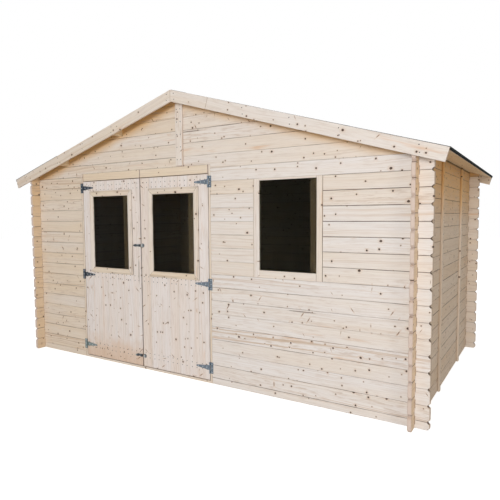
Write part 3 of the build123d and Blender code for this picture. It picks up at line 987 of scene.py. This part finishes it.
def leaf_board_outlines(u0, u1, low, high, hole):
    """One or two outlines for a leaf board, cut back where the glazed hole crosses it."""
    hole_u0, hole_u1, hole_v0, hole_v1 = hole
    if u1 <= hole_u0 or u0 >= hole_u1:
        return [rectangle(u0, u1, low, high)]
    if u0 >= hole_u0 and u1 <= hole_u1:
        return [rectangle(u0, u1, low, hole_v0), rectangle(u0, u1, hole_v1, high)]
    if u0 < hole_u0:
        cut = [(u1, hole_v0), (hole_u0, hole_v0), (hole_u0, hole_v1), (u1, hole_v1)]
        return [[(u0, low), (u1, low), *cut, (u1, high), (u0, high)]]
    cut = [(u0, hole_v1), (hole_u1, hole_v1), (hole_u1, hole_v0), (u0, hole_v0)]
    return [[(u0, low), (u1, low), (u1, high), (u0, high), *cut]]


def build_leaf(side, tones):
    """Boards of a door leaf; tones gives those of single boards, counted from the left."""
    low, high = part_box(f"{side}_door_leaf")
    glass_low, glass_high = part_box(f"{side}_door_glass")
    hole = (glass_low.x, glass_high.x, glass_low.z, glass_high.z)
    width = (high.x - low.x) / boards_per_leaf
    leaf = Timber(f"{side}_door_boards", (0.04, 0.20), ("round", "spiky"))
    for index in range(boards_per_leaf):
        u0 = low.x + width * index
        for outline in leaf_board_outlines(u0, u0 + width, low.z, high.z, hole):
            seam_shade = leaf.joint() * leaf_gaping
            leaf.board(front, outline, high.y - low.y, 0.0, along_v, leaf_edge, tones.get(index), seam_shade)
    leaf.finish(leaf_wood[side], f"{side}_door", "door_wood", f"{side}_door_leaf")
    build_ledges(side, low.x, width)


def build_ledges(side, start, width):
    low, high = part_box(f"{side}_door_ledges")
    ledges = Timber(f"{side}_door_ledges_planed", (0.3, 0.6))
    nails = Studs(f"{side}_door_nails", *door_nail)
    for level in hinge_levels:
        outline = rectangle(low.x, high.x, level - ledge_height / 2, level + ledge_height / 2)
        ledges.board(front, outline, high.y - low.y, -face_y - low.y)
        for index in range(boards_per_leaf):
            for share in door_nail_shares:
                for v in (-door_nail_offset, door_nail_offset):
                    nails.head(front, start + width * (index + share), level + v, 0.0)
    ledges.finish(door_spruce, f"{side}_door", "door_wood", f"{side}_door_ledges")
    nails.finish(nail_steel, f"{side}_door", "zinc_hinge")


def add_moulding(trim, turn, centre, along_half, up_half, rise):
    """One mitred length of moulding, turned by quarters round the middle of the pane."""
    quarter = turn * pi / 2
    offset = trim.grain_offset(-up_half)
    tone = trim.draw.uniform(*trim.tone) + trim_warmth[turn]
    start = len(trim.points)
    count = len(moulding)
    for end in (-1, 1):
        for share, lift, _ in moulding:
            wide = share * trim_width
            u = end * (along_half + wide - mitre_gap)
            v = up_half + wide
            turned_u = centre[0] + (u * cos(quarter) - v * sin(quarter))
            turned_v = centre[1] + (u * sin(quarter) + v * cos(quarter))
            grain = [u + offset[0], v + offset[1], lift * rise + offset[2]]
            trim.point(front @ Vector((turned_u, turned_v, lift * rise)), grain, tone, habits["round"])
    for _, i, j, face in bands(start, count, 2):
        # painted shade at the foot and step of the moulding, along the glass and in the mitres
        dark, next_dark = moulding[i][2], moulding[j][2]
        trim.seam_shades[len(trim.faces)] = (dark, next_dark, next_dark, dark)
        trim.faces.append(face)
    for first, last, step in ((start + count - 1, start - 1, -1), (start + count, start + 2 * count, 1)):
        trim.seam_shades[len(trim.faces)] = (mitre_shade,) * count
        trim.faces.append(tuple(range(first, last, step)))


def build_glazing_trim(side):
    """Four mitred lengths of moulding round a door pane."""
    low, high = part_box(f"{side}_door_trim")
    centre = ((low.x + high.x) / 2, (low.z + high.z) / 2)
    half_u = (high.x - low.x) / 2 - trim_width
    half_v = (high.z - low.z) / 2 - trim_width
    trim = Timber(f"{side}_door_trim_moulded", (0.22, 0.42))
    for turn in range(4):
        halves = (half_u, half_v) if turn % 2 == 0 else (half_v, half_u)
        add_moulding(trim, turn, centre, *halves, -face_y - low.y)
    trim.finish(trim_spruce, f"{side}_door", "door_trim", f"{side}_door_trim")


def build_hinge_screws(side, sign):
    """Screw heads on the hinges: on the straps they ride with the door, on the plates with the jamb."""
    low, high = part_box(f"{side}_hinge_plates")
    pin_x = high.x - pin_inset if sign < 0 else low.x + pin_inset
    on_straps = Studs(f"{side}_strap_screws", *screw)
    on_plates = Studs(f"{side}_plate_screws", *screw)
    for level in hinge_levels:
        for reach in strap_screws:
            on_straps.head(front, pin_x - sign * reach, level, hinge_sheet)
        for rise in plate_screws:
            on_plates.head(front, pin_x + sign * plate_screw_inset, level + rise, hinge_sheet)
    on_straps.finish(bright_zinc, f"{side}_door", "zinc_hinge")
    on_plates.finish(bright_zinc, "shed", "zinc_hinge")


def build_bolt_knobs():
    low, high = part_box("left_door_bolts")
    knobs = Studs("left_bolt_knobs", *knob)
    for level in (low.z + bolt_half, high.z - bolt_half):
        knobs.head(front, low.x + knob_inset, level, -face_y - low.y)
    knobs.finish(dark_zinc, "left_door", "zinc_hinge")


def build_doors():
    build_bolt_knobs()
    build_leaf("left", {})
    build_leaf("right", {0: (0.45, 0.5)})
    for side, sign in (("left", -1), ("right", 1)):
        body = f"{side}_door"
        build_reflection_strip(f"{side}_pane_strip", f"{side}_door_glass", body, -door_strip_depth, strip_width)
        build_glazing_trim(side)
        build_hinge_screws(side, sign)


# Roof

def roof_place(side):
    """Top face of one roof slope: along the ridge and up the slope, from the ridge."""
    return place((0, 0, ridge_top), (0, side, 0), (-side * cos(slope), 0, sin(slope)))


def build_deck(name, side):
    timber = Timber(f"roof_boards_{name}_laid", (0.15, 0.65))
    width = 2 * deck_y / deck_board_count
    top = -deck_thick * tan(slope)
    for index in range(deck_board_count):
        u0 = -deck_y + index * width
        outline = rectangle(u0, u0 + width, -deck_run, top)
        timber.board(roof_place(side), outline, deck_thick, 0.0, along_v, sawn_edge)
    timber.finish(roof_spruce, "shed", "roof_wood", f"roof_boards_{name}")


def ridge_steps(reach):
    """Places along the ridge, close together so that edges can waver."""
    return [-reach + 2 * reach * step / felt_steps for step in range(felt_steps + 1)]


def felt_rows(draw, near, far, reach, total, thick, last):
    """Lines along one strip: its upper edge lies on the boards, its lower edge on the next strip."""
    steps = ridge_steps(reach)
    waver = [0.0 if last else draw.uniform(-felt_waver, felt_waver) for _ in steps]
    on_boards = thick * 1.05
    rows = []
    for share in (*felt_row_shares, 1.0 - bitumen_and_shade / (far - near), 1.0):
        height = on_boards + (total - on_boards) * share
        rows.append([(u, -(near + (far - near) * share + w * share), height) for u, w in zip(steps, waver)])
    if last:
        rows.append([(u, -far, total - felt_turn) for u in steps])
    return rows


def build_felt(name, side):
    """Three strips along one slope that lap downwards, the lowest turned down at the eaves.

    Half a cap covers them at the ridge.
    """
    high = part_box(f"roof_felt_{name}")[1]
    at = roof_place(side)
    total = (high.z - ridge_top) * cos(slope)
    thick = total * felt_share
    sheet = Sheet(f"roof_felt_{name}_strips")
    draw = random.Random(sheet.name)
    nails = Studs(f"felt_nails_{name}", *felt_nail)
    splits = [deck_run * share for share in felt_split_shares]
    starts = (0.0, *splits)
    ends = (*(split + felt_lap for split in splits), deck_run + total)
    reaches = (deck_y, deck_y + felt_overlap, high.y)
    for near, far, reach in zip(starts, ends, reaches):
        last = far == ends[-1]
        rows = felt_rows(draw, near, far, reach, total, thick, last)
        sheet.strip(at, rows, thick, draw.uniform(0.15, 0.6), 2 if last else 1)
        inner = reach - felt_nail_inset
        for step in range(felt_nails):
            u = -inner + 2 * inner * step / (felt_nails - 1)
            nails.head(at, u, felt_nail_edge - far, total - felt_nail_sink)
    cap = [[(u, -v, total) for u in ridge_steps(deck_y)] for v in (-total * tan(slope), *cap_rows)]
    sheet.strip(at, cap, thick / 2, draw.uniform(0.5, 0.7), 1)
    sheet.finish(felt, "shed", "felt", f"roof_felt_{name}")
    nails.finish(bright_zinc, "shed", "zinc_hinge")


def build_purlins():
    end = place((0, -deck_y, 0), (1, 0, 0), (0, 0, 1))
    half = purlin_width / 2

    def under_roof(u):
        return u, ridge_under - abs(u) * tan(slope)

    ridge = Timber("ridge_purlin_sawn", (0.5, 0.8))
    foot = ridge_under - purlin_height
    outline = [(-half, foot), (half, foot), under_roof(half), (0, ridge_under), under_roof(-half)]
    ridge.board(end, outline, 2 * deck_y, 0.0, along_depth, small_edge)
    ridge.finish(roof_spruce, "shed", "roof_wood", "ridge_purlin")
    slopes = Timber("slope_purlins_sawn", (0.5, 0.8))
    for side in (-1, 1):
        for centre in (inner_purlin, outer_purlin):
            u0, u1 = side * centre - half, side * centre + half
            foot = ridge_under - centre * tan(slope) - purlin_height
            outline = [(u0, foot), (u1, foot), under_roof(u1), under_roof(u0)]
            slopes.board(end, outline, 2 * deck_y, 0.0, along_depth, small_edge)
    slopes.finish(roof_spruce, "shed", "roof_wood", "slope_purlins")


def barge_place(side, facing):
    """Outer face of a bargeboard, from the top of the ridge, and its direction down the slope."""
    down = side * -facing
    along = (down * side * cos(slope), 0, -down * sin(slope))
    return place((0, facing * -barge_y, ridge_top), along, (side * sin(slope), 0, cos(slope))), down


def build_bargeboard(node, side, facing, near, far, tone):
    """A board along the gable edge; near 0 has a plumb cut against its twin at the ridge."""
    at, down = barge_place(side, facing)
    plumb = barge_height * tan(slope) if near == 0 else 0.0
    points = [(near + plumb, -barge_height), (far, -barge_height), (far, 0), (near, 0)]
    outline = [(down * d, v) for d, v in points]
    if down < 0:
        outline.reverse()
    timber = Timber(node + "_planed", tone, ("round",))
    timber.board(at, outline, barge_thick - head_rise, -head_rise, along_u, sawn_edge)
    timber.finish(wall_spruce, "shed", "roof_wood", node)


def build_barge_nails():
    nails = Studs("bargeboard_nails", *wall_nail)
    for facing in (-1, 1):
        for side in (-1, 1):
            at, down = barge_place(side, facing)
            for x in barge_nail_places:
                for across, shift in barge_nail_pair:
                    nails.head(at, down * (x / cos(slope) + shift), across, -head_rise)
    nails.finish(nail_steel, "shed", "zinc_hinge")


def build_bargeboards():
    splice = splice_x / cos(slope)
    build_barge_nails()
    build_bargeboard("front_bargeboard_left", -1, -1, 0, deck_run, (0.6, 0.7))
    build_bargeboard("front_bargeboard_right_upper", 1, -1, 0, splice, (0.35, 0.4))
    build_bargeboard("front_bargeboard_right_lower", 1, -1, splice, deck_run, (0.32, 0.38))
    build_bargeboard("back_bargeboard_left", -1, 1, 0, deck_run, (0.8, 1.0))
    build_bargeboard("back_bargeboard_right", 1, 1, 0, deck_run, (0.8, 1.0))


def build_roof():
    for name, side in (("left", -1), ("right", 1)):
        build_deck(name, side)
        build_felt(name, side)
    build_purlins()
    build_bargeboards()


# Finish of the solids that stay as they are

def dress(material, *nodes):
    for node in nodes:
        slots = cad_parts[node].data.materials
        slots.clear()
        slots.append(material)


def dress_solids():
    dress(glass, "window_glass", "left_door_glass", "right_door_glass")
    dress(dark_zinc, "left_hinge_plates", "left_hinge_straps")
    dress(bolt_zinc, "left_door_bolts")
    dress(zinc, "right_hinge_plates", "right_hinge_straps")
    dress(keeper_zinc, "right_door_keepers")


# Studio

def build_floor():
    corners = [(*corner, 0) for corner in rectangle(-floor_half, floor_half, -floor_half, floor_half)]
    floor = add_mesh("studio_floor", corners, [(0, 1, 2, 3)], pale_floor())


def add_lamp(name, spot, target, size, watts, colour):
    lamp = bpy.data.lights.new(name, "AREA")
    lamp.shape = "DISK"
    lamp.size = size
    lamp.energy = watts
    lamp.color = colour
    holder = add_object(name, lamp)
    holder.location = spot
    holder.rotation_euler = (Vector(target) - Vector(spot)).to_track_quat("-Z", "Y").to_euler()


def light_studio():
    """White surroundings to the eye, a dim warm light from all round, and three lamps."""
    world = bpy.data.worlds.new("studio")
    bpy.context.scene.world = world
    world.use_nodes = True
    sky = Graph(world.node_tree)
    background = sky.tree.nodes["Background"].inputs
    seen = sky.seen_rays()
    sky.tree.links.new(sky.ramp(seen, 0.0, 1.0, ambient, 1.0), background["Strength"])
    sky.tree.links.new(sky.mix(seen, (1.0, 0.94, 0.86, 1), white), background["Color"])
    for name, settings in lamps.items():
        add_lamp(name, *settings)


def build_camera():
    camera = bpy.data.cameras.new("camera")
    camera.lens = camera_lens
    camera.sensor_width = sensor_width
    holder = add_object("camera", camera)
    turn = (
        Matrix.Rotation(camera_yaw, 4, "Z")
        @ Matrix.Rotation(pi / 2 + camera_pitch, 4, "X")
        @ Matrix.Rotation(camera_roll, 4, "Z")
    )
    holder.matrix_world = Matrix.Translation(camera_place) @ turn
    bpy.context.scene.camera = holder


wall_pale, wall_warm = (0.83, 0.785, 0.765, 1), (0.79, 0.66, 0.52, 1)
wall_spruce = spruce("wall_spruce", wall_pale, wall_warm, ends=wall_end_grain_shade)
gable_spruce = spruce("gable_spruce", wall_pale, wall_warm, knot_size=0.85, roof_shade=0.135)
# the side walls' wood is warmer and darker than the front's: partly its own colour, partly painted warm shade
# on the side away from the lamps
side_shade_spruce = spruce("side_shade_spruce", (0.77, 0.67, 0.57, 1), (0.73, 0.57, 0.41, 1), roof_shade=0.55, side=True)
leaf_pale, leaf_warm = (0.85, 0.79, 0.77, 1), (0.80, 0.64, 0.51, 1)
door_spruce = spruce("door_spruce", leaf_pale, leaf_warm, 1.0, 0.9, 0.95)
stained_spruce = spruce("stained_spruce", leaf_pale, leaf_warm, 1.25, 1.0, 0.95, foot=0.28)
leaf_wood = {"left": stained_spruce, "right": door_spruce}
trim_spruce = spruce("trim_spruce", (0.84, 0.775, 0.73, 1), (0.81, 0.67, 0.51, 1), 0.8)
roof_spruce = spruce("roof_spruce", (0.95, 0.81, 0.58, 1), (0.90, 0.70, 0.44, 1), 0.8)
# painted reflection: wood for the strips behind the panes
strip_spruce = spruce("strip_spruce", (0.62, 0.48, 0.38, 1), (0.58, 0.43, 0.33, 1), 0.5, 1.4)
felt = roofing_felt()
glass = pane_glass()
zinc = galvanised("zinc_sheet", (0.065, 0.086, 0.112, 1), (0.21, 0.255, 0.30, 1), 0.7, 0.45)
bright_zinc = galvanised("zinc_screws", (0.40, 0.44, 0.48, 1), (0.66, 0.70, 0.74, 1), 0.8, 0.35)
# the lowest of the left hinges is lighter
low_hinge = ((0.20, 0.25, 0.25, 1), 2, 0.5, 0.3)
dark_zinc = galvanised("dark_sheet", (0.012, 0.017, 0.026, 1), (0.05, 0.066, 0.09, 1), 0.5, 0.45, low_hinge)
plate_span = (1, -face_y - 0.004, -face_y - 0.001)
bolt_plate, keeper_plate = ((0.50, 0.53, 0.53, 1), *plate_span), ((0.05, 0.06, 0.075, 1), *plate_span)
bolt_zinc = galvanised("bolt_steel", (0.03, 0.035, 0.045, 1), (0.10, 0.115, 0.13, 1), 0.6, 0.4, bolt_plate)
keeper_zinc = galvanised("keeper_steel", (0.40, 0.44, 0.46, 1), (0.62, 0.66, 0.68, 1), 0.6, 0.4, keeper_plate)
nail_steel = galvanised("nail_steel", (0.05, 0.046, 0.044, 1), (0.16, 0.15, 0.145, 1), 0.6, 0.5)

build_walls()
build_wall_trim()
build_window()
build_doorway()
build_doors()
build_roof()
dress_solids()
build_floor()
light_studio()
build_camera()
bpy.context.scene.view_settings.view_transform = "Standard"
